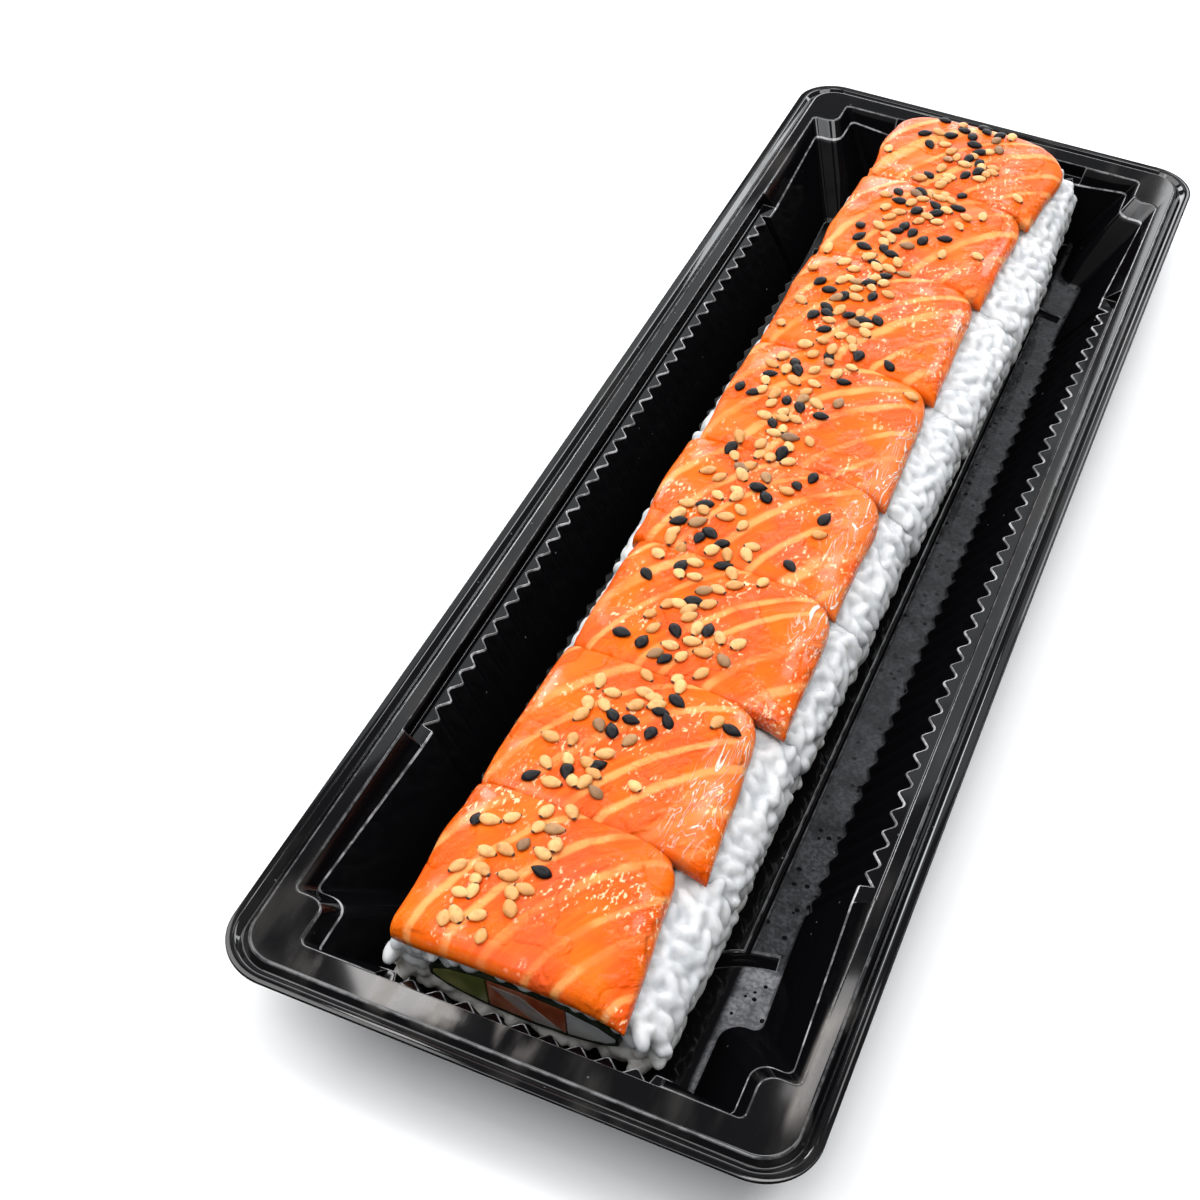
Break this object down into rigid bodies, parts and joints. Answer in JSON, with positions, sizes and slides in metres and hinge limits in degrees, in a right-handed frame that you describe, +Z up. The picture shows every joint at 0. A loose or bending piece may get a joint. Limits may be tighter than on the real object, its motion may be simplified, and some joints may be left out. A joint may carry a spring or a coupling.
{
  "type": "takeaway sushi tray",
  "caption": "Long black formed tray holding a sliced inside-out roll with avocado and fish fillings, salmon slices over it and sesame seeds.",
  "frame": {"origin": "under the middle of the tray, on the surface it stands on", "axes": "+Z up, +Y along the tray's long side, +X across it"},
  "size_m": [0.0898, 0.27, 0.0237],
  "materials": {
    "black_plastic": "gloss",
    "rice": "satin",
    "seaweed": "satin",
    "avocado": "satin",
    "salmon": "wet",
    "white_fish": "satin"
  },
  "bodies": {
    "root": {"tray": "black_plastic", "rice_1": "rice", "seaweed_1": "seaweed", "avocado_1": "avocado", "salmon_1": "salmon", "white_fish_1": "white_fish", "inner_rice_1": "rice", "topping_1": "salmon", "rice_2": "rice", "seaweed_2": "seaweed", "avocado_2": "avocado", "salmon_2": "salmon", "white_fish_2": "white_fish", "inner_rice_2": "rice", "topping_2": "salmon", "rice_3": "rice", "seaweed_3": "seaweed", "avocado_3": "avocado", "salmon_3": "salmon", "white_fish_3": "white_fish", "inner_rice_3": "rice", "topping_3": "salmon", "rice_4": "rice", "seaweed_4": "seaweed", "avocado_4": "avocado", "salmon_4": "salmon", "white_fish_4": "white_fish", "inner_rice_4": "rice", "topping_4": "salmon", "rice_5": "rice", "seaweed_5": "seaweed", "avocado_5": "avocado", "salmon_5": "salmon", "white_fish_5": "white_fish", "inner_rice_5": "rice", "topping_5": "salmon", "rice_6": "rice", "seaweed_6": "seaweed", "avocado_6": "avocado", "salmon_6": "salmon", "white_fish_6": "white_fish", "inner_rice_6": "rice", "topping_6": "salmon", "rice_7": "rice", "seaweed_7": "seaweed", "avocado_7": "avocado", "salmon_7": "salmon", "white_fish_7": "white_fish", "inner_rice_7": "rice", "topping_7": "salmon", "rice_8": "rice", "seaweed_8": "seaweed", "avocado_8": "avocado", "salmon_8": "salmon", "white_fish_8": "white_fish", "inner_rice_8": "rice", "topping_8": "salmon"}
  },
  "joints": []
}
